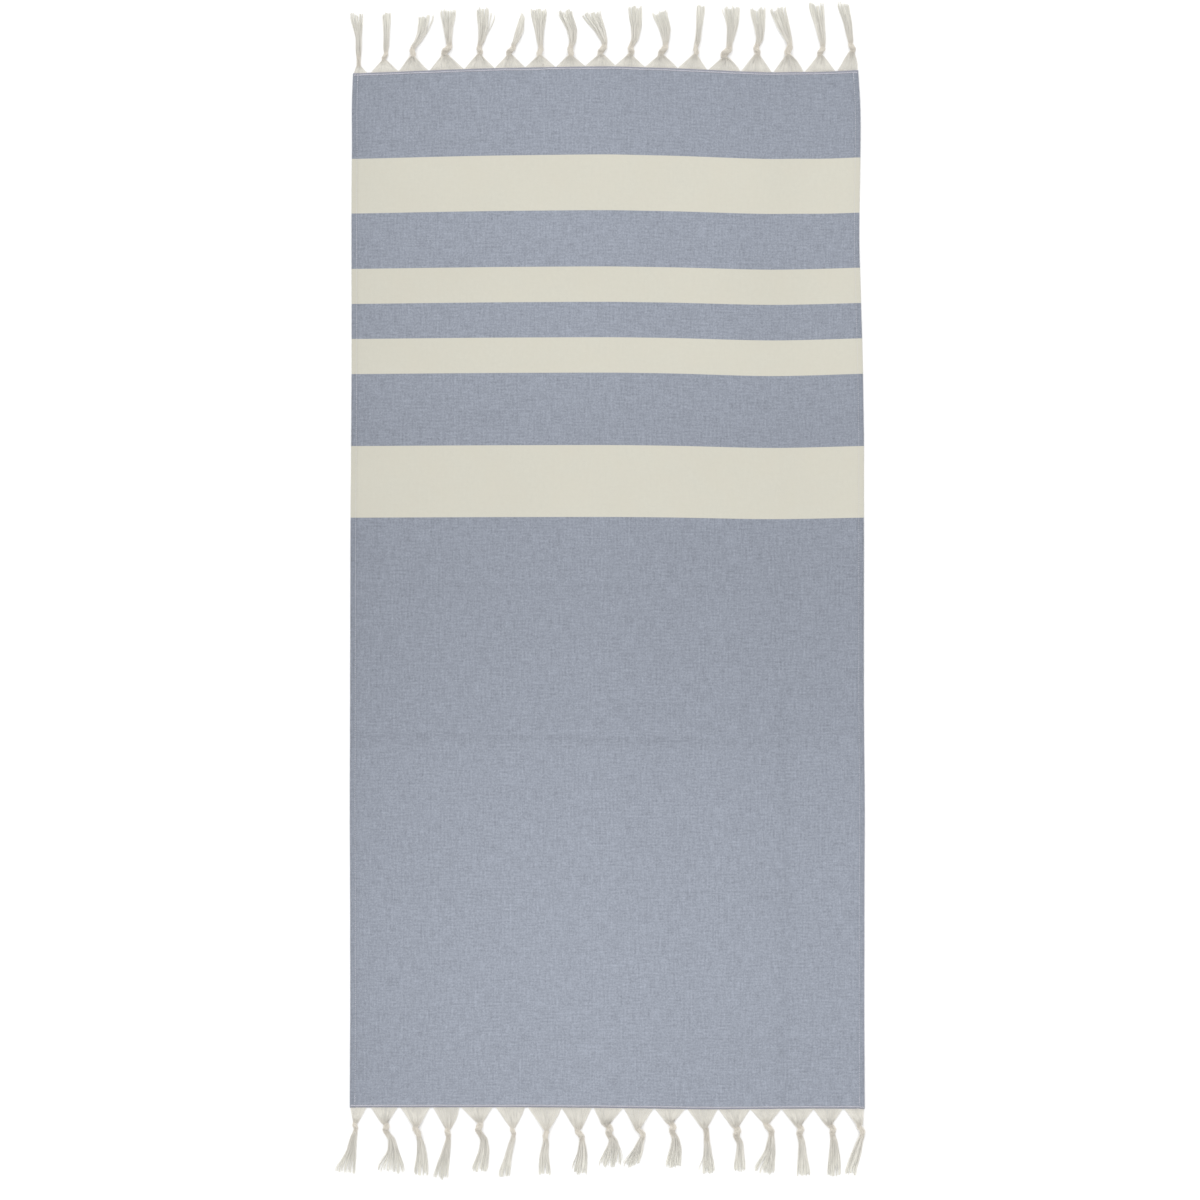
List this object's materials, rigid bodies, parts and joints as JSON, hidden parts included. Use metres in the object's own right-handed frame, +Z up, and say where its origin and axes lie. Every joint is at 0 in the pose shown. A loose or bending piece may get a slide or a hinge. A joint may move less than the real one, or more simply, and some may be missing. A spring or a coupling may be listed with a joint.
{
  "type": "hammam towel",
  "caption": "Flat striped cotton towel, woven in dusty blue and cream, with knotted warp tassels along both short ends.",
  "frame": {"origin": "middle of the cloth's flat underside, on the surface the towel lies on", "axes": "+X across the cloth, +Y along it towards the striped head end, +Z up from the surface"},
  "size_m": [0.926, 2.0619, 0.0075],
  "materials": {
    "blue_weave": "plain woven cotton, dusty blue weft on cream warp, with plain cream bands across the head end, matt",
    "cream_yarn": "undyed cotton warp yarn, softly twisted, matt"
  },
  "bodies": {
    "root": {"cloth": "blue_weave", "tassel_head_01": "cream_yarn", "tassel_head_02": "cream_yarn", "tassel_head_03": "cream_yarn", "tassel_head_04": "cream_yarn", "tassel_head_05": "cream_yarn", "tassel_head_06": "cream_yarn", "tassel_head_07": "cream_yarn", "tassel_head_08": "cream_yarn", "tassel_head_09": "cream_yarn", "tassel_head_10": "cream_yarn", "tassel_head_11": "cream_yarn", "tassel_head_12": "cream_yarn", "tassel_head_13": "cream_yarn", "tassel_head_14": "cream_yarn", "tassel_head_15": "cream_yarn", "tassel_head_16": "cream_yarn", "tassel_head_17": "cream_yarn", "tassel_foot_01": "cream_yarn", "tassel_foot_02": "cream_yarn", "tassel_foot_03": "cream_yarn", "tassel_foot_04": "cream_yarn", "tassel_foot_05": "cream_yarn", "tassel_foot_06": "cream_yarn", "tassel_foot_07": "cream_yarn", "tassel_foot_08": "cream_yarn", "tassel_foot_09": "cream_yarn", "tassel_foot_10": "cream_yarn", "tassel_foot_11": "cream_yarn", "tassel_foot_12": "cream_yarn", "tassel_foot_13": "cream_yarn", "tassel_foot_14": "cream_yarn", "tassel_foot_15": "cream_yarn", "tassel_foot_16": "cream_yarn", "tassel_foot_17": "cream_yarn"}
  },
  "joints": []
}
